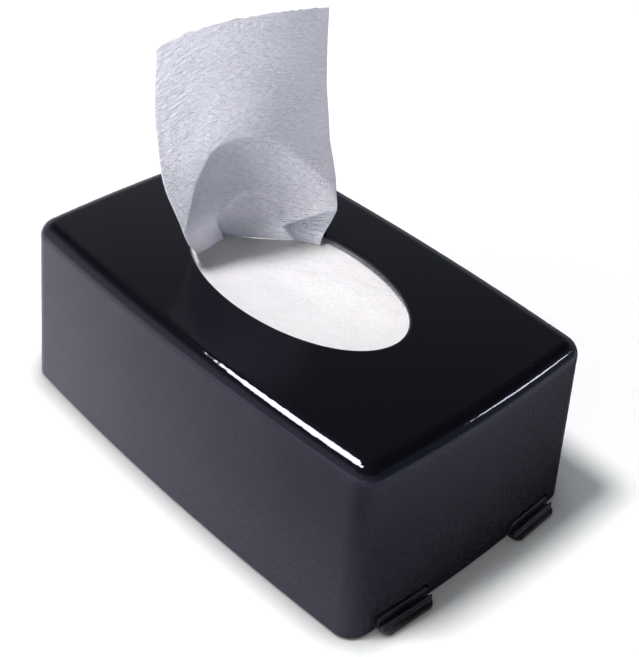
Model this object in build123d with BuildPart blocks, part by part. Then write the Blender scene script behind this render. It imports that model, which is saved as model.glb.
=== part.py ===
from build123d import *
import os
from math import asin, cos, sin, sqrt

# Neck strip dispenser, in millimetres, +Z up, origin at the middle of the footprint on the table.
# +X is the front end with the two finger latches, the cover is hinged at the -X end,
# and -Y is the near long side.

# case: four bowed walls that lean inwards towards the top
case_length = 180.0
case_width = 110.5
case_height = 70.8
end_bow = 2.4
side_bow = 3.4
corner_radius = 7.8
wall_lean = 3.15
wall = 2.4
panel = 2.4
top_edge_radius = 6.0
rim_height = 1.0

# oval hand opening in the top panel
opening_offset = -1.6
opening_length = 97.0
opening_width = 55.6
opening_edge_radius = 0.9

# base plate, with an upstand that the cover slides over
plate_thickness = 2.4
plate_gap = 1.0
upstand_height = 3.6
upstand_thickness = 1.6
upstand_break = 15.0
running_gap = 0.05

# ribs in the cover that rest on the upstand
rest_rib_x = 58.0
rest_rib_reach = 3.2
rest_rib_thickness = 2.0
rest_rib_height = 12.0

# stick-on feet
foot_radius = 5.0
foot_thickness = 2.0
foot_stand = 0.8
foot_inset_x = 16.0
foot_inset_y = 13.5
foot_gap = 0.2
foot_edge_radius = 0.5

# paper strips and their packs
strip_width = 63.5
sheet = 0.8
pack_count = 4
pack_end_room = 17.0
pack_edge_radius = 0.6
stack_room = 2.0

# corner guides that keep the packs under the opening
guide_gap = 0.6
guide_thickness = 2.0
guide_leg = 14.0
guide_height = 26.0

# screw holes for fixing the plate to a shelf or a wall
screw_hole_radius = 2.25
screw_head_radius = 4.3
screw_spacing = 90.0
screw_boss_radius = 6.5
screw_boss_height = 3.0

# latches: place in from the case's side, distances out from the wall's face, heights over the table
latch_inset = 22.65
latch_width = 22.4
latch_corner_radius = 3.0
latch_clearance = 0.15
lip_reach = 5.0
lip_top = 2.2
ridge_reach = 2.8
ridge_top = 4.2
groove_reach = 2.0
groove_floor = 2.6
riser_reach = 0.45
riser_thickness = 2.6
riser_top = 6.0
riser_corner_radius = 1.6
latch_edge_radius = 0.3

# the hidden arm of a latch, and the bead that it turns on
bead_radius = 1.3
bead_height = 2.9
bead_setback = 7.6
bead_length = 20.0
bead_gap = 0.05
bead_mouth = 0.9
web_thickness = 1.4
arm_thickness = 1.6
arm_width = 12.0
arm_setback = 6.2
barb_height = 2.7
barb_gap = 0.3
barb_wall_gap = 0.3
seat_wall = 0.8
seat_length = 4.0

# catch rib inside the cover's front wall
catch_depth = 1.2
catch_bottom = 12.0
catch_top = 14.0

# notches in the cover's lower edge
latch_notch_gap = 0.6
latch_notch_top = 7.2
notch_corner_radius = 2.0
knuckle_notch_gap = 0.8

# barrel hinges behind the rear wall, in from the case's sides
hinge_inset = 22.65
hinge_reach = 2.8
barrel_radius = 2.4
knuckle_width = 12.0
ear_width = 5.0
ear_gap = 0.3
pin_radius = 1.2
pin_grip_gap = 0.01
pin_running_gap = 0.07
pin_end_radius = 0.3

# how the leading strip stands, as it was pulled: a section's rise over the case's top,
# its left edge, its right edge and how far its middle is pushed back
strip_sections = [
    (-3.9, (-36.0, -15.0), (-14.9, 22.2), 9.0),
    (9.2, (-34.6, -23.6), (-16.4, 30.4), 7.4),
    (25.2, (-34.6, -30.4), (-17.6, 31.6), 4.0),
    (46.2, (-35.4, -34.4), (-18.6, 27.4), 1.4),
    (85.8, (-35.4, -34.9), (-19.5, 24.2), 0.6),
]

# the flap of the next strip: how far it reaches up, along and across
flap_start = -47.0
flap_end = -41.6
flap_rise = 4.6
flap_near = -11.0
flap_far = 5.0

# worked-out places
side_middle = case_width / 2 + side_bow
end_middle = case_length / 2 + end_bow
end_arc_radius = ((case_width / 2) ** 2 + end_bow**2) / (2 * end_bow)
side_arc_radius = ((case_length / 2) ** 2 + side_bow**2) / (2 * side_bow)
lean_per_mm = wall_lean / case_height
plate_top = foot_stand + plate_thickness
plate_inset = wall + plate_gap
upstand_top = plate_top + upstand_height
inner_top = case_height - panel
pack_length = case_length - 2 * pack_end_room
pack_top = inner_top - stack_room - sheet
pack_height = (pack_top - plate_top) / pack_count
foot_x = case_length / 2 - foot_inset_x
foot_y = case_width / 2 - foot_inset_y
hinge_height = foot_stand + barrel_radius
hinge_y = case_width / 2 - hinge_inset
latch_y = case_width / 2 - latch_inset


def end_wall_x(y):
    """Distance from the middle of the case to the foot of an end wall's outer face, at y."""
    return end_middle - (end_arc_radius - sqrt(end_arc_radius**2 - y**2))


def side_wall_y(x):
    """Distance from the middle of the case to the foot of a long wall's outer face, at x."""
    return side_middle - (side_arc_radius - sqrt(side_arc_radius**2 - x**2))


hinge_x = -(end_wall_x(hinge_y) + hinge_reach)


def front_plane(y):
    """Upright plane square to the front wall at y, its x pointing out of the wall, its y up."""
    turn = asin(y / end_arc_radius)
    return Plane(
        origin=(end_wall_x(y), y, 0),
        x_dir=(cos(turn), sin(turn), 0),
        z_dir=(sin(turn), -cos(turn), 0),
    )


def front_floor_plane(y):
    """Level plane at the front wall's foot at y, its x pointing out of the wall."""
    turn = asin(y / end_arc_radius)
    return Plane(
        origin=(end_wall_x(y), y, 0),
        x_dir=(cos(turn), sin(turn), 0),
        z_dir=(0, 0, 1),
    )


def case_outline(inset, height=0.0):
    """Draws the outline of the case at a height, pulled in by inset: four bowed sides."""
    lean = lean_per_mm * height
    x = case_length / 2 - inset - lean
    y = case_width / 2 - inset - lean
    with BuildLine() as sides:
        ThreePointArc((x, -y), (x + end_bow, 0), (x, y))
        ThreePointArc((x, y), (0, y + side_bow), (-x, y))
        ThreePointArc((-x, y), (-x - end_bow, 0), (-x, -y))
        ThreePointArc((-x, -y), (0, -y - side_bow), (x, -y))
    corners = make_face(sides.edges()).vertices()
    fillet(corners, corner_radius - inset)


def case_form(inset, bottom, top, edge_radius):
    """A solid in the form of the case, pulled in by inset, with a rounded top edge."""
    with BuildPart() as form:
        for height in (bottom, top):
            with BuildSketch(Plane.XY.offset(height)):
                case_outline(inset, height)
        loft(ruled=True)
        fillet(form.faces().sort_by(Axis.Z)[-1].edges(), edge_radius)
    return form.part


os.makedirs("parts", exist_ok=True)


def lengthwise_plane(y=0.0):
    """Upright plane along the case at y, its x along +X, its y up."""
    return Plane(origin=(0, y, 0), x_dir=(1, 0, 0), z_dir=(0, -1, 0))


def crosswise_plane(plane):
    """Upright plane through the same origin, its x along the wall, its y up."""
    return Plane(origin=plane.origin, x_dir=-plane.z_dir, z_dir=plane.x_dir)


def finish(part, name):
    """Names a finished piece and writes it."""
    part.label = name
    export_step(part, f"parts/{name}.step")


# cover: one moulding with an oval opening, notches, catch ribs, rest ribs and hinge ears
outside = case_form(0, rim_height, case_height, top_edge_radius)
inside = case_form(wall, 0, inner_top, top_edge_radius - wall)
rest_rib_root = side_wall_y(rest_rib_x) - wall
notch_width = latch_width + 2 * latch_notch_gap
catch_face = -wall - lean_per_mm * catch_top
knuckle_notch_top = hinge_height + barrel_radius + knuckle_notch_gap
ear_top = hinge_height + barrel_radius

with BuildPart() as cover:
    add(outside)
    add(inside, mode=Mode.SUBTRACT)
    # oval opening with rounded rims
    with BuildSketch(Plane.XY.offset(inner_top - panel)):
        with Locations((opening_offset, 0)):
            Ellipse(opening_length / 2, opening_width / 2)
    extrude(amount=3 * panel, mode=Mode.SUBTRACT)
    panel_faces = cover.faces().filter_by(Axis.Z).filter_by_position(Axis.Z, inner_top, case_height)
    rims = [edge for face in panel_faces for wire in face.inner_wires() for edge in wire.edges()]
    fillet(rims, opening_edge_radius)
    # ribs that rest on the base plate's upstand, rooted in the long walls
    with BuildSketch(Plane.XY.offset(upstand_top + running_gap)):
        for side in (-1, 1):
            with Locations((rest_rib_x, side * (rest_rib_root - rest_rib_reach / 2))):
                Rectangle(rest_rib_thickness, rest_rib_reach + wall / 2)
    extrude(amount=rest_rib_height)
    for y in (-latch_y, latch_y):
        # catch rib on the front wall
        with BuildSketch(front_plane(y)):
            with BuildLine():
                Polyline(
                    (-wall / 2, catch_bottom),
                    (-wall / 2, catch_top),
                    (catch_face - catch_depth, catch_top),
                    (catch_face - catch_depth, catch_bottom + catch_depth / 2),
                    (catch_face, catch_bottom),
                    close=True,
                )
            make_face()
        extrude(amount=arm_width / 2 + latch_notch_gap, both=True)
        # notch that the latch stands in
        with BuildSketch(crosswise_plane(front_plane(y))) as notch:
            Rectangle(notch_width, 2 * latch_notch_top)
            fillet(notch.vertices(), notch_corner_radius)
        extrude(amount=2 * wall, both=True, mode=Mode.SUBTRACT)
    for y in (-hinge_y, hinge_y):
        # notch that the base plate's knuckle passes through
        with BuildSketch():
            with Locations((hinge_x, y)):
                Rectangle(
                    2 * (hinge_reach + 2 * wall),
                    knuckle_width + 2 * knuckle_notch_gap,
                )
        extrude(amount=knuckle_notch_top, mode=Mode.SUBTRACT)
        # an ear on each side of the knuckle
        for side in (-1, 1):
            ear_y = y + side * (knuckle_width / 2 + ear_gap + ear_width / 2)
            ear_root = -end_wall_x(ear_y) + wall / 2
            with BuildSketch(lengthwise_plane(ear_y)):
                with Locations(((hinge_x + ear_root) / 2, (rim_height + ear_top) / 2)):
                    Rectangle(ear_root - hinge_x, ear_top - rim_height)
                with Locations((hinge_x, hinge_height)):
                    Circle(barrel_radius)
                    Circle(pin_radius + pin_running_gap, mode=Mode.SUBTRACT)
            extrude(amount=ear_width / 2, both=True)
finish(cover.part, "cover")


# base plate: upstand, pack guides, foot pockets, screw holes, latch seats and hinge knuckles
guide_x = pack_length / 2 + guide_gap
guide_y = strip_width / 2 + guide_gap
seat_front = bead_mouth - bead_setback
seat_top = bead_height + bead_radius + bead_gap + seat_wall
knuckle_root = -(case_length / 2 - plate_inset)

with BuildPart() as base_plate:
    with BuildSketch(Plane.XY.offset(foot_stand)):
        case_outline(plate_inset, plate_top)
    extrude(amount=plate_thickness)
    with BuildSketch(Plane.XY.offset(plate_top)):
        case_outline(plate_inset, upstand_top)
        offset(amount=-upstand_thickness, mode=Mode.SUBTRACT)
        # the upstand is broken at the latches and the hinges
        for x, y in ((end_middle, latch_y), (-end_middle, hinge_y)):
            with Locations((x, -y), (x, y)):
                Rectangle(2 * upstand_break, 2 * upstand_break, mode=Mode.SUBTRACT)
    extrude(amount=upstand_height)
    # corner guides round the packs
    with BuildSketch(Plane.XY.offset(plate_top)):
        Rectangle(2 * (guide_x + guide_thickness), 2 * (guide_y + guide_thickness))
        Rectangle(2 * guide_x, 2 * guide_y, mode=Mode.SUBTRACT)
        Rectangle(2 * (guide_x + guide_thickness - guide_leg), case_width, mode=Mode.SUBTRACT)
        Rectangle(case_length, 2 * (guide_y + guide_thickness - guide_leg), mode=Mode.SUBTRACT)
    extrude(amount=guide_height)
    # foot pockets in the underside
    with BuildSketch(Plane.XY.offset(foot_stand)):
        with GridLocations(2 * foot_x, 2 * foot_y, 2, 2):
            Circle(foot_radius + foot_gap)
    extrude(amount=foot_thickness - foot_stand, mode=Mode.SUBTRACT)
    # countersunk screw holes in raised bosses
    with BuildSketch(Plane.XY.offset(plate_top)):
        with GridLocations(0, screw_spacing, 1, 2):
            Circle(screw_boss_radius)
    extrude(amount=screw_boss_height)
    with Locations(Plane.XY.offset(plate_top + screw_boss_height)):
        with GridLocations(0, screw_spacing, 1, 2):
            CounterSinkHole(screw_hole_radius, screw_head_radius)
    for y in (-latch_y, latch_y):
        # gap for the latch, and its seat behind the gap
        with BuildSketch(front_floor_plane(y)):
            with Locations((seat_front, 0)):
                Rectangle(
                    4 * bead_setback,
                    notch_width,
                    align=(Align.MIN, Align.CENTER),
                )
        extrude(amount=upstand_top, mode=Mode.SUBTRACT)
        with BuildSketch(front_plane(y)):
            with Locations((seat_front - seat_length / 2, (foot_stand + seat_top) / 2)):
                Rectangle(seat_length, seat_top - foot_stand)
        extrude(amount=notch_width / 2, both=True)
        with BuildSketch(front_plane(y)):
            with Locations((-bead_setback, bead_height)):
                Circle(bead_radius + bead_gap)
        extrude(amount=notch_width, both=True, mode=Mode.SUBTRACT)
    for y in (-hinge_y, hinge_y):
        # knuckle on an arm that reaches out under the rear wall
        with BuildSketch(lengthwise_plane(y)):
            with Locations(((hinge_x + knuckle_root) / 2, (foot_stand + plate_top) / 2)):
                Rectangle(knuckle_root - hinge_x, plate_thickness)
            with Locations((hinge_x, hinge_height)):
                Circle(barrel_radius)
                Circle(pin_radius + pin_grip_gap, mode=Mode.SUBTRACT)
        extrude(amount=knuckle_width / 2, both=True)
finish(base_plate.part, "base_plate")


def make_latch(y, name):
    """Finger latch: riser, groove, ridge and lip outside, hooked arm and bead inside."""
    foot = foot_stand + latch_clearance
    catch_top_at_arm = catch_top + barb_gap
    arm_face = arm_thickness - arm_setback
    barb_reach = catch_face - barb_wall_gap
    with BuildPart() as latch:
        with BuildSketch(front_plane(y)) as section:
            with BuildLine():
                Polyline(
                    (riser_reach - riser_thickness, foot),
                    (lip_reach, foot),
                    (lip_reach, lip_top),
                    (ridge_reach, lip_top),
                    (ridge_reach, ridge_top),
                    (groove_reach, ridge_top),
                    (groove_reach, groove_floor),
                    (riser_reach, groove_floor),
                    (riser_reach, riser_top),
                    (riser_reach - riser_thickness, riser_top),
                    close=True,
                )
            make_face()
            fillet(section.vertices(), latch_edge_radius)
        extrude(amount=latch_width / 2, both=True)
        # the lip's corners are rounded in plan
        with BuildSketch(front_floor_plane(y)) as plan:
            with Locations((lip_reach, 0)):
                Rectangle(
                    lip_reach + riser_thickness,
                    latch_width,
                    align=(Align.MAX, Align.CENTER),
                )
            fillet(plan.vertices(), latch_corner_radius)
            with Locations((0, 0)):
                Rectangle(riser_thickness, latch_width, align=(Align.MAX, Align.CENTER))
        extrude(amount=riser_top, mode=Mode.INTERSECT)
        # the riser's upper corners are rounded like the notch
        with BuildSketch(crosswise_plane(front_plane(y))) as face:
            Rectangle(latch_width, 2 * riser_top)
            fillet(face.vertices(), riser_corner_radius)
        extrude(amount=2 * lip_reach, both=True, mode=Mode.INTERSECT)
        # web to the bead
        with BuildSketch(front_plane(y)):
            with Locations((-bead_setback / 2, bead_height)):
                Rectangle(bead_setback, web_thickness)
            with Locations((-bead_setback, bead_height)):
                Circle(bead_radius)
        extrude(amount=bead_length / 2, both=True)
        # hooked arm
        with BuildSketch(front_plane(y)):
            with BuildLine():
                Polyline(
                    (-arm_setback, bead_height),
                    (arm_face, bead_height),
                    (arm_face, catch_top_at_arm),
                    (barb_reach, catch_top_at_arm),
                    (arm_face, catch_top_at_arm + barb_height),
                    (-arm_setback, catch_top_at_arm + barb_height),
                    close=True,
                )
            make_face()
        extrude(amount=arm_width / 2, both=True)
    finish(latch.part, name)


make_latch(-latch_y, "latch_near")
make_latch(latch_y, "latch_far")


def make_hinge_pin(y, name):
    """Hinge pin through a knuckle and both its ears, with rounded ends."""
    pin_length = knuckle_width + 2 * (ear_gap + ear_width)
    with BuildPart() as pin:
        with BuildSketch(lengthwise_plane(y)):
            with Locations((hinge_x, hinge_height)):
                Circle(pin_radius)
        extrude(amount=pin_length / 2, both=True)
        fillet(pin.edges().filter_by(GeomType.CIRCLE), pin_end_radius)
    finish(pin.part, name)


make_hinge_pin(-hinge_y, "hinge_pin_near")
make_hinge_pin(hinge_y, "hinge_pin_far")


def make_foot(x, y, name):
    """Rubber foot in its pocket, with a softened lower edge."""
    with BuildPart() as foot:
        with BuildSketch():
            with Locations((x, y)):
                Circle(foot_radius)
        extrude(amount=foot_thickness)
        fillet(foot.edges().sort_by(Axis.Z)[0], foot_edge_radius)
    finish(foot.part, name)


for end, x in (("front", foot_x), ("rear", -foot_x)):
    for side, y in (("near", -foot_y), ("far", foot_y)):
        make_foot(x, y, f"foot_{end}_{side}")


def make_pack(number):
    """One pack of interfolded strips in the stack, counted from the bottom."""
    with BuildPart() as pack:
        with BuildSketch(Plane.XY.offset(plate_top + (number - 1) * pack_height)):
            Rectangle(pack_length, strip_width)
        extrude(amount=pack_height)
        fillet(pack.edges(), pack_edge_radius)
    finish(pack.part, f"strip_pack_{number}")


for number in range(1, pack_count + 1):
    make_pack(number)


# next strip: the top panel of the stack, its flap rising into the opening
flap_height = pack_top + sheet + flap_rise
flap_middle = (flap_near + flap_far) / 2

with BuildPart() as next_strip:
    with BuildSketch(Plane.XY.offset(pack_top)):
        Rectangle(pack_length, strip_width)
    extrude(amount=sheet)
    with BuildSketch(lengthwise_plane(flap_middle)):
        with BuildLine() as flap_line:
            lower = TangentArc(
                (flap_start, pack_top + sheet / 2),
                (flap_end, flap_height),
                tangent=(1, 0.1),
            )
            offset(lower, amount=sheet / 2, side=Side.BOTH)
        make_face()
    extrude(amount=(flap_far - flap_near) / 2, both=True)
finish(next_strip.part, "next_strip")


# leading strip: hollow where it passes the opening, nearly flat at its free end
with BuildPart() as leading_strip:
    for rise, left, right, hollow in strip_sections:
        with BuildSketch(Plane.XY.offset(case_height + rise)):
            with BuildLine():
                front = SagittaArc(left, right, hollow)
                back = offset(front, amount=sheet, side=Side.LEFT)
            make_face()
    loft()
finish(leading_strip.part, "leading_strip")
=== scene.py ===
import bmesh
import bpy
import math
import numpy as np
from mathutils import Matrix, Vector


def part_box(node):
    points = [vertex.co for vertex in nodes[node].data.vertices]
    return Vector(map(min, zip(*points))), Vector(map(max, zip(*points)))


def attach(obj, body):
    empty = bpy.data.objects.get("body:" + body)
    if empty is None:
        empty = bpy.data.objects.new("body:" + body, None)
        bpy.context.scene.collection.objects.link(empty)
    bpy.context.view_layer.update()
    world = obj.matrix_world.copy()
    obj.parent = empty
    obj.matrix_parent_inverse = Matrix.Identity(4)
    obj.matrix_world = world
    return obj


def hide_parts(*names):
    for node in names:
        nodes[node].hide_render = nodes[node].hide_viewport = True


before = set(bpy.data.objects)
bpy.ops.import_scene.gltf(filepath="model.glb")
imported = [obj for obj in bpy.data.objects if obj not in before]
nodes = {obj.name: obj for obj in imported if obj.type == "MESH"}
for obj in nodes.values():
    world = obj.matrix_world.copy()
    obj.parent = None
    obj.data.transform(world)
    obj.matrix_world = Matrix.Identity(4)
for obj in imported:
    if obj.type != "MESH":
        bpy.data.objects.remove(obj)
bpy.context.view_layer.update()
print("frame loaded with", len(nodes), "nodes")


# Meshes from grids of points

def gridFaces(rows, columns, closeColumns=False):
    # quads of a grid whose points are numbered row by row
    across = columns if closeColumns else columns - 1
    r, c = np.meshgrid(np.arange(rows - 1), np.arange(across), indexing="ij")
    n = (c + 1) % columns
    low, high = r * columns, (r + 1) * columns
    return np.stack([low + c, low + n, high + n, high + c], -1).reshape(-1, 4)


def meshFromArrays(name, points, faces, uvs=None):
    # points, quads and one uv pair for each point, all as whole arrays
    mesh = bpy.data.meshes.new(name)
    mesh.vertices.add(len(points))
    mesh.vertices.foreach_set("co", np.ascontiguousarray(points, np.float32).ravel())
    mesh.loops.add(faces.size)
    mesh.loops.foreach_set("vertex_index", faces.ravel().astype(np.int32))
    mesh.polygons.add(len(faces))
    mesh.polygons.foreach_set("loop_start", np.arange(0, faces.size, faces.shape[1], dtype=np.int32))
    mesh.polygons.foreach_set("use_smooth", np.ones(len(faces), bool))
    mesh.update(calc_edges=True)
    mesh.validate()
    if uvs is not None:
        layer = mesh.uv_layers.new(name="flatMetres")
        layer.data.foreach_set("uv", uvs[faces.ravel()].astype(np.float32).ravel())
    piece = bpy.data.objects.new(name, mesh)
    bpy.context.scene.collection.objects.link(piece)
    return piece


# Small helpers for node trees

class NodeTree:
    def __init__(self, name, kind="Material"):
        # the nodes of a new material or, with the kind World, of new surroundings
        store = {"Material": bpy.data.materials, "World": bpy.data.worlds}[kind]
        self.owner = store.new(name)
        self.owner.use_nodes = True
        self.nodes = self.owner.node_tree.nodes
        self.links = self.owner.node_tree.links
        self.nodes.clear()
        self.output = self.nodes.new("ShaderNodeOutput" + kind)
        self.coordinates = self.nodes.new("ShaderNodeTexCoord")

    def add(self, kind, **settings):
        # settings that name a property set it, the rest set or link an input
        node = self.nodes.new("ShaderNode" + kind)
        for key, value in settings.items():
            if hasattr(node, key):
                setattr(node, key, value)
            else:
                self.feed(node, key.replace("_", " "), value)
        return node

    def feed(self, node, key, value):
        # a socket is linked, anything else is set on the input, which is named or numbered
        socket = node.inputs[key] if not key.isdigit() else node.inputs[int(key)]
        if isinstance(value, bpy.types.NodeSocket):
            self.links.new(value, socket)
        else:
            socket.default_value = value

    def noise(self, scale, detail=2.0, vector=None, distortion=0.0):
        # cloudy noise in object space, or over the vector given
        vector = vector or self.coordinates.outputs["Object"]
        node = self.add("TexNoise", Vector=vector, Scale=scale, Detail=detail)
        node.inputs["Distortion"].default_value = distortion
        return node.outputs["Fac"]

    def between(self, value, fromLow, fromHigh, toLow=0.0, toHigh=1.0):
        # a smooth step from one value to another while the input crosses a range
        node = self.add("MapRange", interpolation_type="SMOOTHSTEP")
        for key, item in zip(("Value", "From Min", "From Max", "To Min", "To Max"),
                             (value, fromLow, fromHigh, toLow, toHigh)):
            self.feed(node, key, item)
        return node.outputs["Result"]

    def mix(self, share, first, second, blend="MIX"):
        # the first colour where the share is 0, the second where it is 1
        node = self.add("Mix", data_type="RGBA", blend_type=blend)
        for key, item in (("0", share), ("6", first), ("7", second)):
            self.feed(node, key, item)
        return node.outputs[2]

    def math(self, operation, first, second=0.0):
        node = self.add("Math", operation=operation)
        self.feed(node, "0", first)
        self.feed(node, "1", second)
        return node.outputs[0]

    def stretched(self, scale, vector=None):
        # the coordinates times a scale for each axis
        vector = vector or self.coordinates.outputs["Object"]
        return self.add("Mapping", Vector=vector, Scale=scale).outputs["Vector"]

    def bump(self, height, strength, distance, normal=None):
        # a normal tilted by the slope of a height, on top of another bump where one is given
        node = self.add("Bump", Height=height, Strength=strength, Distance=distance)
        if normal is not None:
            self.feed(node, "Normal", normal)
        return node.outputs["Normal"]

    def finish(self, shader):
        self.links.new(shader.outputs[0], self.output.inputs["Surface"])
        return self.owner


def dress(material, *names):
    # the CAD pieces named take the material as their only one
    for name in names:
        slots = nodes[name].data.materials
        slots.clear()
        slots.append(material)


# Case: glossy top, satin walls below a line on the edge's rounding

caseFinish = {
    "glossFrom": 0.0673,       # height of the line, and half its width
    "glossLine": 0.0002,
    "glossColour": (0.0036, 0.0036, 0.0056, 1),
    "satinColour": (0.0042, 0.0042, 0.0060, 1),
    "satinPale": (0.0062, 0.0062, 0.0085, 1),
    "satinLitFoot": (0.024, 0.024, 0.031, 1),
    "lowFade": (0.005, 0.066), "lowShare": 0.7,    # the walls' foot takes most of the paler tone, painted light from the bright floor below
    "dustColour": (0.10, 0.10, 0.11, 1), "dustShare": 0.35,
    "glossRoughness": 0.045,
    "smearRoughness": 0.085,
    "flatRoughness": 0.20,     # the level part of the top, handled more than its edge
    "flatFrom": (0.0705, 0.07078),
    "satinRoughness": (0.24, 0.30),
    "specular": (0.5, 0.3, 0.2),    # satin, gloss, level part of the top
    "refraction": 1.46, "tint": (0.72, 0.71, 1.0, 1),
    "cloudScale": 38.0, "smearScale": 22.0, "dustScale": 420.0, "grainScale": 2600.0,
    "grainRelief": (0.12, 0.0002),
}


def makeCaseMaterial(f):
    # satin and gloss change over at a height; painted light pales the walls' foot; smears, a fine grain and
    # a little dust lie over them
    t = NodeTree("caseBlack")
    place = t.coordinates.outputs["Object"]
    height = t.add("SeparateXYZ", Vector=place).outputs["Z"]
    gloss = t.between(height, f["glossFrom"] - f["glossLine"], f["glossFrom"] + f["glossLine"])
    level = t.between(height, *f["flatFrom"])
    cloud = t.noise(f["cloudScale"], 3.0)
    grain = t.noise(f["grainScale"], 2.0)
    smears = t.between(t.noise(f["smearScale"], 4.0, distortion=1.2), 0.52, 0.72)
    dust = t.add("TexVoronoi", Vector=place, Scale=f["dustScale"]).outputs["Distance"]
    specks = t.between(dust, 0.035, 0.07, f["dustShare"], 0.0)
    satin = t.mix(t.between(cloud, 0.35, 0.65), f["satinColour"], f["satinPale"])
    # painted light from the floor below: the walls turn paler towards their foot
    satin = t.mix(t.between(height, *f["lowFade"], f["lowShare"], 0.0), satin, f["satinLitFoot"])
    colour = t.mix(gloss, satin, f["glossColour"])
    colour = t.mix(specks, colour, f["dustColour"])
    glossRough = t.between(smears, 0.0, 1.0, f["glossRoughness"], f["smearRoughness"])
    glossRough = t.between(level, 0.0, 1.0, glossRough, f["flatRoughness"])
    satinRough = t.between(grain, 0.3, 0.7, *f["satinRoughness"])
    roughness = t.add("Mix", data_type="FLOAT")
    for key, item in (("0", gloss), ("2", satinRough), ("3", glossRough)):
        t.feed(roughness, key, item)
    grainHeight = t.math("MULTIPLY", grain, t.math("SUBTRACT", 1.0, gloss))
    fine = t.bump(grainHeight, *f["grainRelief"])
    shader = t.add("BsdfPrincipled", Base_Color=colour, Normal=fine)
    t.feed(shader, "Roughness", roughness.outputs[0])
    shader.inputs["IOR"].default_value = f["refraction"]
    shine = t.between(level, 0.0, 1.0, *f["specular"][1:])
    t.feed(shader, "Specular IOR Level", t.between(gloss, 0.0, 1.0, f["specular"][0], shine))
    shader.inputs["Specular Tint"].default_value = f["tint"]
    return t.finish(shader)


# Base plate and latches: satin black moulding, a little paler where fingers rub

baseFinish = {
    "colour": (0.014, 0.014, 0.018, 1), "rubbed": (0.03, 0.03, 0.036, 1), "roughness": (0.42, 0.58),
    "grainScale": 1900.0, "cloudScale": 90.0, "grainRelief": (0.2, 0.0002),
}


def makeBaseMaterial(f):
    # clouds make it paler and rougher in places, over a fine grain
    t = NodeTree("baseBlack")
    grain = t.noise(f["grainScale"], 3.0)
    cloud = t.noise(f["cloudScale"], 4.0)
    colour = t.mix(t.between(cloud, 0.45, 0.75), f["colour"], f["rubbed"])
    shader = t.add("BsdfPrincipled", Base_Color=colour)
    t.feed(shader, "Roughness", t.between(cloud, 0.3, 0.7, *f["roughness"]))
    t.feed(shader, "Normal", t.bump(grain, *f["grainRelief"]))
    return t.finish(shader)


# Hinge pins: drawn steel, and feet: rubber

pinFinish = {
    "colour": (0.55, 0.55, 0.57, 1), "dull": (0.36, 0.35, 0.34, 1), "roughness": (0.22, 0.42),
    "drawnScale": 2200.0, "drawnStretch": (1.0, 0.02, 1.0), "drawnRelief": (0.15, 0.0001),
}


def makePinMaterial(f):
    # fine lines along the pin, which dull and roughen it
    t = NodeTree("pinSteel")
    drawn = t.noise(f["drawnScale"], 2.0, vector=t.stretched(f["drawnStretch"]))
    shader = t.add("BsdfPrincipled", Base_Color=t.mix(drawn, f["colour"], f["dull"]))
    shader.inputs["Metallic"].default_value = 1.0
    t.feed(shader, "Roughness", t.between(drawn, 0.3, 0.7, *f["roughness"]))
    t.feed(shader, "Normal", t.bump(drawn, *f["drawnRelief"]))
    return t.finish(shader)


footFinish = {
    "colour": (0.02, 0.02, 0.021, 1), "wearAndCreaseShade": (0.05, 0.05, 0.05, 1), "roughness": (0.7, 0.92),
    "cloudScale": 600.0, "cloudRelief": (0.4, 0.0003),
}


def makeFootMaterial(f):
    # one small cloud pattern wears, roughens and dents the rubber
    t = NodeTree("footRubber")
    cloud = t.noise(f["cloudScale"], 5.0)
    shader = t.add("BsdfPrincipled", Base_Color=t.mix(cloud, f["colour"], f["wearAndCreaseShade"]))
    t.feed(shader, "Roughness", t.between(cloud, 0.3, 0.7, *f["roughness"]))
    t.feed(shader, "Normal", t.bump(cloud, *f["cloudRelief"]))
    return t.finish(shader)


dress(makeCaseMaterial(caseFinish), "cover")
dress(makeBaseMaterial(baseFinish), "base_plate", "latch_near", "latch_far")
dress(makePinMaterial(pinFinish), "hinge_pin_near", "hinge_pin_far")
dress(makeFootMaterial(footFinish),
      "foot_front_near", "foot_front_far", "foot_rear_near", "foot_rear_far")
print("plastic, steel and rubber dressed")


# Paper: shared grain and small shapes

paperFinish = {
    # for each kind: the colour, its painted shade in the crepe's hollows, the tone of the painted shade that
    # the point attribute asks for, the share of light that comes through and the strength of the crepe's
    # bump
    # all three kinds are one paper: the single strip's paler lavender colour and the stack's and folds'
    # darker colours are painted light and shade
    "single": ((0.945, 0.93, 0.985, 1), (0.865, 0.855, 0.915, 1), (0.45, 0.48, 0.53, 1), 0.33, 0.85),
    "stack": ((0.885, 0.850, 0.864, 1), (0.84, 0.807, 0.821, 1), (0.72, 0.725, 0.69, 1), 0.0, 0.35),
    "folds": ((0.62, 0.61, 0.62, 1), (0.49, 0.48, 0.49, 1), (0.55, 0.54, 0.55, 1), 0.0, 0.5),
    "crepeLength": 0.0009,     # spacing of the crepe ridges along the strip
    "crepeStretch": (0.32, 1.0, 1.0),
    "crepeDepth": 0.0013, "fibreDepth": 0.0005,
    "fibreShare": 0.5,         # the fibres' spacing as a share of the ridges'
    "cloudScale": 60.0, "cloudShare": 0.4, "toneRange": (0.36, 0.54),
    "roughness": 0.9,
}


def smoothNoise(a, b, spacing, seed):
    # random values from -1 to 1 on a lattice that repeats, blended by a cubic step between its points
    count = 257
    table = np.random.default_rng(seed).uniform(-1, 1, (count, count))
    x, y = a / spacing[0], b / spacing[1]
    i, j = np.floor(x).astype(int), np.floor(y).astype(int)
    u, v = x - i, y - j
    u, v = u * u * (3 - 2 * u), v * v * (3 - 2 * v)
    i, j, nextI, nextJ = i % count, j % count, (i + 1) % count, (j + 1) % count
    near = table[i, j] * (1 - u) + table[nextI, j] * u
    far = table[i, nextJ] * (1 - u) + table[nextI, nextJ] * u
    return near * (1 - v) + far * v


def smoothStep(value, low, high):
    # 0 at low and 1 at high, three times the share's square less twice its cube between them
    t = np.clip((value - low) / (high - low), 0, 1)
    return t * t * (3 - 2 * t)


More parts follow.
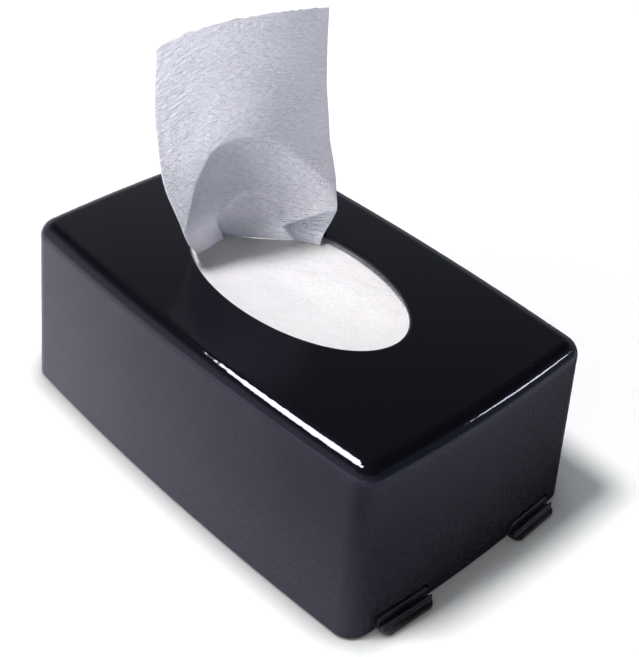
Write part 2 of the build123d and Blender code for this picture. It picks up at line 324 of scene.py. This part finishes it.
def sectionCurve(heights, table, z):
    # pairs of values over the height, joined by cubic curves whose slopes are the table's own
    # differences; the end curves carry on outside the table
    heights = np.asarray(heights, float)
    table = np.asarray(table, float)
    slope = np.gradient(table, heights, axis=0)
    k = np.clip(np.searchsorted(heights, z) - 1, 0, len(heights) - 2)
    step = heights[k + 1] - heights[k]
    t = (z - heights[k]) / step
    h00, h10 = (1 + 2 * t) * (1 - t) ** 2, t * (1 - t) ** 2
    h01, h11 = t * t * (3 - 2 * t), t * t * (t - 1)
    parts = [w[..., None] for w in (h00, h10 * step, h01, h11 * step)]
    return parts[0] * table[k] + parts[1] * slope[k] + parts[2] * table[k + 1] + parts[3] * slope[k + 1]


def makePaperMaterial(name, f, kind):
    # crepe ridges across the flat strip's length, finer fibres and wide clouds, with painted shade in the
    # ridges' hollows; where the point attribute asks for it, painted shade makes the paper greyer
    colour, shade, paintedShade, glow, relief = f[kind]
    t = NodeTree(name)
    flat = t.add("UVMap", uv_map="flatMetres").outputs["UV"]
    ridges = t.noise(1.0 / f["crepeLength"], 2.0, vector=t.stretched(f["crepeStretch"], flat))
    fibre = t.noise(1.0 / (f["fibreShare"] * f["crepeLength"]), 2.0, vector=flat)
    cloud = t.math("MULTIPLY", t.noise(f["cloudScale"], 3.0, vector=flat), f["cloudShare"])
    # painted shade in the crepe's hollows, mixed with clouds of random tone
    wearAndCreaseShade = t.math("ADD", t.math("MULTIPLY", ridges, 1.0 - f["cloudShare"]), cloud)
    tone = t.mix(t.between(wearAndCreaseShade, *f["toneRange"]), shade, colour)
    # painted shade, as much as the point attribute gives
    amount = t.add("Attribute", attribute_name="paintedShade").outputs["Fac"]
    tone = t.mix(amount, tone, t.mix(1.0, tone, paintedShade, "MULTIPLY"))
    coarse = t.bump(ridges, relief, f["crepeDepth"])
    fine = t.bump(fibre, relief, f["fibreDepth"], coarse)
    front = t.add("BsdfPrincipled", Base_Color=tone, Normal=fine)
    front.inputs["Roughness"].default_value = f["roughness"]
    through = t.add("BsdfTranslucent", Color=tone, Normal=fine)
    both = t.add("MixShader")
    both.inputs[0].default_value = glow
    t.links.new(front.outputs[0], both.inputs[1])
    t.links.new(through.outputs[0], both.inputs[2])
    return t.finish(both)


singlePaper = makePaperMaterial("paperSingle", paperFinish, "single")
stackPaper = makePaperMaterial("paperStack", paperFinish, "stack")
foldedPaper = makePaperMaterial("paperFolds", paperFinish, "folds")


def addPaintedShade(piece, amount):
    # how much painted shade each point takes, for the paper material
    layer = piece.data.attributes.new("paintedShade", "FLOAT", "POINT")
    layer.data.foreach_set("value", amount.astype(np.float32).ravel())


# Leading strip: cupped in the opening, flatter at its free end

stripShape = {
    "width": 0.0635, "thickness": 0.00026,
    "columns": 180, "rows": 245,
    # from here on in millimetres: both edges in plan over the height, and the free end's height
    "heights": (66.7, 70.8, 75.0, 80.0, 86.0, 92.4, 99.7, 106.5, 115.0, 127.0, 139.0, 152.0),
    "leftEdge": ((-36.8, -16.2), (-36.2, -18.4), (-35.0, -21.8), (-33.6, -24.6), (-33.2, -26.9),
                 (-33.9, -29.1), (-35.7, -31.1), (-37.3, -31.9), (-39.4, -31.5), (-42.2, -30.6),
                 (-44.7, -28.3), (-47.9, -25.2)),
    "rightEdge": ((-14.9, 24.3), (-15.1, 26.0), (-16.2, 30.9), (-16.9, 33.2), (-17.1, 32.7),
                  (-17.4, 32.0), (-18.8, 31.3), (-20.3, 30.6), (-22.2, 30.9), (-24.9, 31.3),
                  (-27.2, 32.5), (-29.8, 34.5)),
    "topEdge": (147.1, 150.7, 152.7, 153.8, 154.1, 153.9, 153.2, 152.2),
    # the foot's folded section: share of the width, share along the line between the edges, depth behind it
    "footShare": (0.0, 0.052, 0.10, 0.17, 0.235, 0.283, 0.33, 0.385, 0.434, 0.482, 0.527, 0.60, 0.675,
                  0.78, 0.88, 0.94, 1.0),
    "footAlong": (0.0, 0.059, 0.114, 0.184, 0.251, 0.20, 0.123, 0.19, 0.266, 0.330, 0.391, 0.486, 0.587,
                  0.724, 0.855, 0.929, 1.0),
    "footDepth": (0.0, 1.9, 3.5, 6.6, 9.3, 10.8, 11.2, 12.0, 12.1, 11.6, 10.9, 9.5, 8.1,
                  6.1, 4.1, 2.2, 0.0),
    "foldTop": 91.0, "foldEase": 0.5, "hollowEase": 0.85,
    # how high the hollow reaches over the width, then the crest above it and the bow higher up
    "archShare": (0.0, 0.02, 0.08, 0.17, 0.24, 0.28, 0.33, 0.39, 0.45,
                  0.51, 0.56, 0.62, 0.68, 0.73, 0.79, 0.9, 1.0),
    "archTop": (80.0, 84.0, 91.2, 101.0, 107.8, 111.7, 114.1, 115.0, 115.3,
                115.1, 114.3, 112.7, 109.8, 106.4, 102.0, 94.0, 87.0),
    "crest": 1.3, "crestReach": 14.0, "crestRise": (70, 84),
    "bow": 3.0, "bowRise": (96, 124),
    # the lower arch in the hollow, the crease to the right corner and the curl of the hem
    "shelfShare": (0.30, 0.35, 0.38, 0.43, 0.47, 0.52, 0.57, 0.62, 0.66, 0.70, 0.78, 1.0),
    "shelfTop": (80.0, 83.4, 86.0, 88.6, 89.1, 88.8, 87.3, 84.9, 81.6, 77.0, 70.0, 60.0),
    "shelfDepth": 0.6, "shelfEase": (-1.2, 5.0), "shelfRise": (66, 74),
    "cornerShare": (0.66, 0.69, 0.75, 0.84, 0.93, 1.0),
    "cornerTop": (60.0, 72.9, 74.3, 76.0, 77.9, 78.5),
    "cornerRidge": 1.3, "cornerReach": 3.5, "cornerFrom": (0.66, 0.76),
    "hemCurl": 0.35, "hemReach": 1.4, "hemFrom": (0.26, 0.34),
    # crepe: height, spacing and seed of each layer, and of the slanting wrinkles by the left edge
    "crepe": ((0.05, (2.2, 0.9), 3), (0.03, (5.0, 2.4), 5), (0.18, (17.0, 12.0), 8)),
    "slant": (0.06, (3.0, 1.1), 9), "slantTurn": 0.8, "slantFade": (0.34, 0.16),
    "calmFrom": 0.94, "calmShare": 0.3,    # the free end is smoother
    "torn": (0.3, (1.6, 1.0), 12), "tornFrom": 0.97,
}

# How much painted shade greys the strip, and where painted highlights pale it, by share of the width and
# height in millimetres
stripShadePaint = {
    "arch": 0.36, "archLine": (-0.6, 0.8), "archFade": (0.95, 0.60), "shelfLoss": 0.30,
    "lobeLoss": 0.9, "lobeFade": (0.36, 0.26), "lobeDrop": (92, 78),
    "cornerLine": (-0.4, 0.6), "cornerFade": (1.25, 0.70),
    "underFrom": (0.69, 72.9), "underSlope": 52, "underLine": (-0.6, 0.8),
    "gap": 0.55, "gapFrom": (0.38, 0.42), "gapStart": 0.26, "gapReach": 0.04, "gapDrop": (90, 82),
    "shelfHighlight": 0.23, "shelfReach": 1.3, "shelfRise": (76, 84),
    "knuckle": (0.447, 83.6), "knuckleReach": (0.016, 1.6),
}


def bell(distance, reach):
    # 1 at no distance, falling by the square of distance over reach
    return np.exp(-(distance / reach) ** 2)


def stripSection(across, along, z, foot, c):
    # depth before the straight line between the edges. The folded foot lies behind it and fades out up
    # to an arch over the width; above come a crest and a bow, and each crease adds its own small step
    arch = np.interp(along, c["archShare"], c["archTop"])
    shelf = np.interp(along, c["shelfShare"], c["shelfTop"])
    corner = np.interp(along, c["cornerShare"], c["cornerTop"])
    inner = smoothStep(shelf - z, *c["shelfEase"])
    span = np.sin(np.pi * across)
    depth = -foot * np.clip((arch - z) / (arch - c["heights"][0]), 0, 1) ** c["hollowEase"]
    depth += c["crest"] * bell(z - arch, c["crestReach"]) * smoothStep(z, *c["crestRise"]) * span
    depth += c["bow"] * span * smoothStep(z, *c["bowRise"])
    depth += c["shelfDepth"] * inner * smoothStep(z, *c["shelfRise"])
    ridge = np.exp(-np.abs(z - corner) / c["cornerReach"])
    depth += c["cornerRidge"] * ridge * smoothStep(along, *c["cornerFrom"])
    hem = np.exp(-(z - c["heights"][0]) / c["hemReach"])
    depth += c["hemCurl"] * hem * smoothStep(along, *c["hemFrom"])
    return depth, arch, shelf, corner, inner


def paintStripShade(across, along, z, arch, shelf, corner, inner, k):
    # painted shade as products of smooth steps: under the arch, less in the lobe and below the shelf's
    # painted highlight line, full in the right corner, and by an exponential in the gap beside the fold; the
    # fold's knuckle stays pale as a painted highlight
    sharp = smoothStep(arch - z, *k["archLine"]) * smoothStep(along, *k["archFade"])
    under = k["underFrom"][1] - (along - k["underFrom"][0]) * k["underSlope"]
    soft = smoothStep(corner - z, *k["cornerLine"]) * smoothStep(z - under, *k["underLine"])
    soft *= smoothStep(along, *k["cornerFade"])
    gap = np.exp(-np.clip(along - k["gapStart"], 0, 1) / k["gapReach"])
    gap *= smoothStep(across, *k["gapFrom"]) * smoothStep(z, *k["gapDrop"])
    lobe = smoothStep(along, *k["lobeFade"]) * smoothStep(z, *k["lobeDrop"])
    shadeAmount = k["arch"] * sharp * (1 - k["shelfLoss"] * inner) * (1 - k["lobeLoss"] * lobe) * (1 - soft)
    shadeAmount += soft + k["gap"] * gap
    shadeAmount -= k["shelfHighlight"] * bell(z - shelf, k["shelfReach"]) * smoothStep(z, *k["shelfRise"])
    # painted highlight on the fold's knuckle
    knuckle = bell(across - k["knuckle"][0], k["knuckleReach"][0])
    knuckle *= bell(z - k["knuckle"][1], k["knuckleReach"][1])
    return np.clip(shadeAmount * (1 - knuckle), 0, 1)


def stripPoint(across, up, c, k):
    # the height runs from the foot to the free end; both edges follow curves over the height, and the
    # point lies a share along the line between them and a depth before it
    top = np.interp(across, np.linspace(0, 1, len(c["topEdge"])), c["topEdge"])
    low = c["heights"][0]
    z = low + (top - low) * up
    left = sectionCurve(c["heights"], c["leftEdge"], z)
    chord = sectionCurve(c["heights"], c["rightEdge"], z) - left
    length = np.linalg.norm(chord, axis=-1)
    forward = np.stack([chord[..., 1], -chord[..., 0]], -1) / length[..., None]
    shut = np.clip(1 - (z - low) / (c["foldTop"] - low), 0, 1) ** c["foldEase"]
    foot = sectionCurve(c["footShare"], np.stack([c["footAlong"], c["footDepth"]], -1), across)
    along = across + (foot[..., 0] - across) * shut
    depth, *creases = stripSection(across, along, z, foot[..., 1], c)
    plan = left + chord * along[..., None] + forward * depth[..., None]
    return np.stack([plan[..., 0], plan[..., 1], z], -1) / 1000, paintStripShade(across, along, z, *creases, k)


def makeLeadingStrip(c, k):
    # the strip's surface, pushed along its normals by layers of noise over its flat size in millimetres
    across, up = np.meshgrid(np.linspace(0, 1, c["columns"]), np.linspace(0, 1, c["rows"]))
    points, shadeAmount = stripPoint(across, up, c, k)
    run = np.linalg.norm(np.diff(points, axis=0), axis=-1).cumsum(0).mean(1)
    way = np.concatenate([[0], run])
    uvs = np.stack([across * c["width"], np.broadcast_to(way[:, None], across.shape)], -1)
    a, b = uvs[..., 0] * 1000, uvs[..., 1] * 1000
    push = sum(height * smoothNoise(a, b, spacing, seed) for height, spacing, seed in c["crepe"])
    height, spacing, seed = c["slant"]
    slanting = smoothNoise(a + b, b - c["slantTurn"] * a, spacing, seed)
    push += height * slanting * smoothStep(across, *c["slantFade"])
    push *= smoothStep(up, 1.0, c["calmFrom"]) * (1 - c["calmShare"]) + c["calmShare"]
    normal = np.cross(np.gradient(points, axis=1), np.gradient(points, axis=0))
    normal /= np.linalg.norm(normal, axis=-1, keepdims=True)
    points = points + normal * (push / 1000)[..., None]
    # the free edge is torn, so not quite straight
    height, spacing, seed = c["torn"]
    ragged = height * smoothNoise(a, b * 0, spacing, seed) * smoothStep(up, c["tornFrom"], 1.0)
    points[..., 2] += ragged / 1000
    piece = meshFromArrays("leadingStrip", points.reshape(-1, 3), gridFaces(c["rows"], c["columns"]),
                           uvs.reshape(-1, 2))
    # painted shade for the paper material
    addPaintedShade(piece, shadeAmount)
    thick = piece.modifiers.new("thickness", "SOLIDIFY")
    thick.thickness = c["thickness"]
    thick.offset = 0.0
    piece.data.materials.append(singlePaper)
    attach(piece, "leading_strip")
    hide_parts("leading_strip")
    return piece


makeLeadingStrip(stripShape, stripShadePaint)
print("leading strip made")


# Next strip: the top of the stack, rising to the leading strip's foot

nextShape = {
    "columns": 200, "rows": 110, "top": 0.0664, "sunk": 0.0001, "thickness": 0.0003,
    "riseMiddle": (-0.0415, -0.014), "riseHalf": (0.0065, 0.013), "riseHeight": 0.0024,
    # waves: height, spacing in millimetres and seed of each layer, and of the slanting ones
    "waves": ((0.00020, (14.0, 9.0), 21), (0.00010, (4.0, 3.0), 22), (0.00005, (1.0, 3.2), 23)),
    "slant": (0.00024, (26.0, 6.0), 24), "slantTurn": 0.7,
    "latticeShift": 200.0,
    # the line on which the leading strip's foot stands: its left end, length and the way it faces
    "footEnd": (-0.0368, -0.0162), "footLength": 0.046, "footFacing": (0.88, -0.475),
    # where the painted shadow before the foot fades: ahead of the line, past its left and right ends
    "greyAhead": (0.010, -0.002), "greyLeft": (-0.25, 0.10), "greyRight": (1.25, 0.80),
}


def paintNextShadow(x, y, c):
    # painted shadow of the leading strip before its foot: fades with the distance before the line and past
    # its ends
    (faceX, faceY), (endX, endY) = c["footFacing"], c["footEnd"]
    ahead = (x - endX) * faceX + (y - endY) * faceY
    aside = ((y - endY) * faceX - (x - endX) * faceY) / c["footLength"]
    return (smoothStep(ahead, *c["greyAhead"]) * smoothStep(aside, *c["greyLeft"])
            * smoothStep(aside, *c["greyRight"]))


def makeNextStrip(c):
    # a level rectangle, raised by a rounded hump, by shallow waves and by crepe
    low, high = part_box("next_strip")
    x, y = np.meshgrid(np.linspace(low.x, high.x, c["columns"]), np.linspace(low.y, high.y, c["rows"]))
    hump = np.exp(-((x - c["riseMiddle"][0]) / c["riseHalf"][0]) ** 4
                  - ((y - c["riseMiddle"][1]) / c["riseHalf"][1]) ** 2)
    a, b = x * 1000 + c["latticeShift"], y * 1000 + c["latticeShift"]
    waves = sum(height * smoothNoise(a, b, spacing, seed) for height, spacing, seed in c["waves"])
    height, spacing, seed = c["slant"]
    waves += height * smoothNoise(c["slantTurn"] * (a + b), c["slantTurn"] * (b - a), spacing, seed)
    z = c["top"] - c["sunk"] + c["riseHeight"] * hump + waves
    uvs = np.stack([y - low.y, x - low.x], -1)
    piece = meshFromArrays("nextStrip", np.stack([x, y, z], -1).reshape(-1, 3),
                           gridFaces(c["rows"], c["columns"]), uvs.reshape(-1, 2))
    # painted shadow of the leading strip on the stack
    addPaintedShade(piece, paintNextShadow(x, y, c))
    thick = piece.modifiers.new("thickness", "SOLIDIFY")
    thick.thickness = c["thickness"]
    thick.offset = -1.0
    piece.data.materials.append(stackPaper)
    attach(piece, "base")
    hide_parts("next_strip")
    return piece


makeNextStrip(nextShape)
print("next strip made")


# Packs: folded strips pressed flat, their folds showing along the sides

packShape = {
    "columns": 120, "rows": 150, "square": 24, "inset": 0.0003,
    "sideShare": 0.36, "heightShare": 0.995,    # rows that climb the side, either way from the middle
    "foldShadeShare": 0.37,                          # rows on which painted shade greys the gaps between folds
    "foldPitch": 0.00065, "foldDepth": 0.00045,
    # noise round the ring in millimetres: size, spacing and seed of the folds' drift and of the roughness
    "ringTurn": 60.0, "packShift": 37.0, "drift": (2.0, (9, 2), 31), "rough": (0.0003, (3, 1.0), 33),
    "flatTurn": 0.03,
}


def closeMesh(mesh):
    # the grid's seam and poles are merged, then all faces are turned outwards
    weld = bmesh.new()
    weld.from_mesh(mesh)
    bmesh.ops.remove_doubles(weld, verts=weld.verts, dist=1e-7)
    bmesh.ops.recalc_face_normals(weld, faces=weld.faces)
    weld.to_mesh(mesh)
    weld.free()


def makePack(number, c):
    # a closed block: a squarish ring (each side's larger part reaches the edge) carried from the middle
    # of the underside out, up the sides and in over the top, the sides drawn in by a cosine at the
    # folds' pitch and by noise
    low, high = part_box(f"strip_pack_{number}")
    middle, half = (low + high) / 2, (high - low) / 2
    t, v = np.meshgrid(np.linspace(0, 2 * np.pi, c["columns"], endpoint=False),
                       np.linspace(-0.5, 0.5, c["rows"]))
    cosT, sinT = np.cos(t), np.sin(t)
    power = c["square"]
    reach = 1 / (np.abs(cosT) ** power + np.abs(sinT) ** power) ** (1 / power)
    outline = smoothStep(np.abs(v), 0.5, c["sideShare"])
    z = middle.z + half.z * np.clip(v / c["sideShare"], -1, 1) * c["heightShare"]
    a, b = t * c["ringTurn"] + number * c["packShift"], z * 1000
    size, spacing, seed = c["drift"]
    gap = 0.5 + 0.5 * np.cos(2 * np.pi * z / c["foldPitch"] + size * smoothNoise(a, b, spacing, seed))
    size, spacing, seed = c["rough"]
    folds = c["foldDepth"] * gap + size * (1 + smoothNoise(a, b, spacing, seed))
    side = reach * outline * (1 - folds / half.y)
    x = middle.x + (half.x - c["inset"]) * cosT * side
    y = middle.y + (half.y - c["inset"]) * sinT * side
    piece = meshFromArrays(f"stripPack{number}", np.stack([x, y, z], -1).reshape(-1, 3),
                           gridFaces(c["rows"], c["columns"], True),
                           np.stack([t * c["flatTurn"], z], -1).reshape(-1, 2))
    # painted shade in the gaps between folds, on the rows of the sides
    addPaintedShade(piece, gap * (np.abs(v) < c["foldShadeShare"]))
    closeMesh(piece.data)
    piece.data.materials.append(foldedPaper)
    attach(piece, "base")
    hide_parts(f"strip_pack_{number}")
    return piece


for packNumber in range(1, 5):
    makePack(packNumber, packShape)
print("packs made")

# Camera, as fitted to the case's edges in the picture

cameraPlace = {
    "lensMm": 68.39, "sensorMm": 36.0,
    "azimuth": 43.68, "elevation": 37.48, "roll": 4.98,
    "distance": 0.4822, "shiftRight": 0.0119, "shiftUp": 0.0381,
    "clip": (0.01, 20.0),
}


def makeCamera(c):
    # the camera looks along a direction given by two angles, rolls about it, stands off by a distance
    # and is shifted in its own picture plane
    azimuth, elevation, roll = (math.radians(c[k]) for k in ("azimuth", "elevation", "roll"))
    back = Vector((math.sin(azimuth) * math.cos(elevation), -math.cos(azimuth) * math.cos(elevation),
                   math.sin(elevation)))
    level = Vector((0, 0, 1)).cross(back).normalized()
    upright = back.cross(level)
    right = level * math.cos(roll) + upright * math.sin(roll)
    up = upright * math.cos(roll) - level * math.sin(roll)
    camera = bpy.data.objects.new("camera", bpy.data.cameras.new("camera"))
    camera.data.lens = c["lensMm"]
    camera.data.sensor_width = c["sensorMm"]
    camera.data.clip_start, camera.data.clip_end = c["clip"]
    turn = Matrix((right, up, back)).transposed().to_4x4()
    place = right * c["shiftRight"] + up * c["shiftUp"] + back * c["distance"]
    camera.matrix_world = Matrix.Translation(place) @ turn
    bpy.context.scene.collection.objects.link(camera)
    bpy.context.scene.camera = camera


makeCamera(cameraPlace)

# Floor, lamps and surroundings

studio = {
    "floorHalf": 4.0, "floorColour": (0.94, 0.94, 1.0, 1), "floorSeen": (1.0, 1.0, 1.0, 1),
    "floorLift": 0.09, "floorFade": (0.30, 0.60),
    "contactReach": 0.013, "contactPower": 1.6,
    # what gloss mirrors of the floor: bright at the left, dim before the case, paler past its end
    "floorBright": (0.92, 0.92, 1.0, 1), "floorDim": (0.12, 0.12, 0.14, 1),
    "floorFar": (0.75, 0.75, 0.85, 1), "dimAcross": (-0.28, 0.10), "farAcross": (0.105, 0.20),
    "keyFrom": (-0.221, -0.303, 0.927), "keyDistance": 3.0, "keySize": (0.70, 0.70), "keyWatts": 75.0,
    "fillFrom": (-0.15, -0.978, 0.14), "fillDistance": 2.5, "fillSize": (0.6, 0.6), "fillWatts": 66.0,
    "edgeFrom": (-0.43, -0.19, 0.883), "edgeDistance": 2.0, "edgeSize": (0.98, 0.60), "edgeWatts": 90.0,
    "rimFrom": (0.622, 0.672, 0.405), "rimDistance": 2.0, "rimSize": (0.44, 0.2), "rimWatts": 7.0,
    "skyBright": (1.05, 1.10, 1.17, 1), "skyDim": (0.36, 0.41, 0.44, 1), "skyAcross": (-1.1, 1.1),
    "skyHigh": (0.008, 0.008, 0.009, 1), "skyFade": (0.38, 0.70), "skySeen": (1.0, 1.0, 1.0, 1),
}


def makeFloor(s):
    # one square sheet, z is 0 all over it
    sides = np.array([-s["floorHalf"], s["floorHalf"]])
    x, y = np.meshgrid(sides, sides)
    floor = meshFromArrays("floor", np.stack([x, y, x * 0], -1).reshape(-1, 3), gridFaces(2, 2))
    t = NodeTree("floorWhite")
    light = t.add("LightPath")
    seen = light.outputs["Is Camera Ray"]
    split = t.add("SeparateXYZ", Vector=t.coordinates.outputs["Object"])
    slant = t.math("ADD", split.outputs["X"], split.outputs["Y"])
    mirrored = t.mix(t.between(slant, *s["dimAcross"]), s["floorBright"], s["floorDim"])
    mirrored = t.mix(t.between(split.outputs["X"], *s["farAcross"]), mirrored, s["floorFar"])
    unseen = t.mix(light.outputs["Is Glossy Ray"], s["floorColour"], mirrored)
    # a narrow contact shadow round the foot of the case
    contact = t.add("AmbientOcclusion", samples=8, Distance=s["contactReach"]).outputs["AO"]
    shown = t.mix(t.math("POWER", contact, s["contactPower"]), (0, 0, 0, 1), s["floorSeen"])
    diffuse = t.add("BsdfDiffuse", Color=t.mix(seen, unseen, shown))
    lift = t.add("Emission", Color=(1, 1, 1, 1), Strength=t.math("MULTIPLY", seen, s["floorLift"]))
    both = t.add("AddShader")
    t.links.new(diffuse.outputs[0], both.inputs[0])
    t.links.new(lift.outputs[0], both.inputs[1])
    # far from the object the camera sees plain white
    reach = t.add("VectorMath", operation="LENGTH")
    t.links.new(t.coordinates.outputs["Object"], reach.inputs[0])
    away = t.between(reach.outputs["Value"], *s["floorFade"])
    white = t.add("Emission", Color=(1, 1, 1, 1), Strength=1.0)
    whole = t.add("MixShader")
    t.feed(whole, "0", t.math("MULTIPLY", seen, away))
    t.links.new(both.outputs[0], whole.inputs[1])
    t.links.new(white.outputs[0], whole.inputs[2])
    floor.data.materials.append(t.finish(whole))


def makeLamp(name, s, along, glossOnly=False, matteOnly=False):
    # an oval lamp that faces the object, its first size lying along a direction
    lamp = bpy.data.lights.new(name + "Lamp", "AREA")
    lamp.shape = "ELLIPSE"
    lamp.size, lamp.size_y = s[name + "Size"]
    lamp.energy = s[name + "Watts"]
    holder = bpy.data.objects.new(name + "Lamp", lamp)
    away = Vector(s[name + "From"]).normalized()
    first = (Vector(along) - away * away.dot(Vector(along))).normalized()
    turn = Matrix((first, away.cross(first), away)).transposed().to_4x4()
    holder.matrix_world = Matrix.Translation(away * s[name + "Distance"]) @ turn
    holder.visible_diffuse = not glossOnly
    holder.visible_transmission = not glossOnly
    holder.visible_glossy = not matteOnly
    bpy.context.scene.collection.objects.link(holder)


def makeSky(s):
    # a pale band round the horizon that fades upwards, brighter on the key lamp's side; white to the camera
    t = NodeTree("studioSky", "World")
    split = t.add("SeparateXYZ", Vector=t.coordinates.outputs["Generated"])
    slant = t.math("ADD", split.outputs["X"], split.outputs["Y"])
    band = t.mix(t.between(slant, *s["skyAcross"]), s["skyBright"], s["skyDim"])
    sky = t.mix(t.between(split.outputs["Z"], *s["skyFade"]), band, s["skyHigh"])
    shown = t.mix(t.add("LightPath").outputs["Is Camera Ray"], sky, s["skySeen"])
    bpy.context.scene.world = t.finish(t.add("Background", Color=shown))


makeFloor(studio)
makeLamp("key", studio, (0, 1, 0))
makeLamp("fill", studio, (0, 0, 1), matteOnly=True)
makeLamp("edge", studio, (0, 1, 0), glossOnly=True)
makeLamp("rim", studio, (-0.08, 0.12, -0.06), glossOnly=True)
makeSky(studio)
bpy.context.scene.view_settings.view_transform = "Standard"
print("camera, floor and lamps placed")
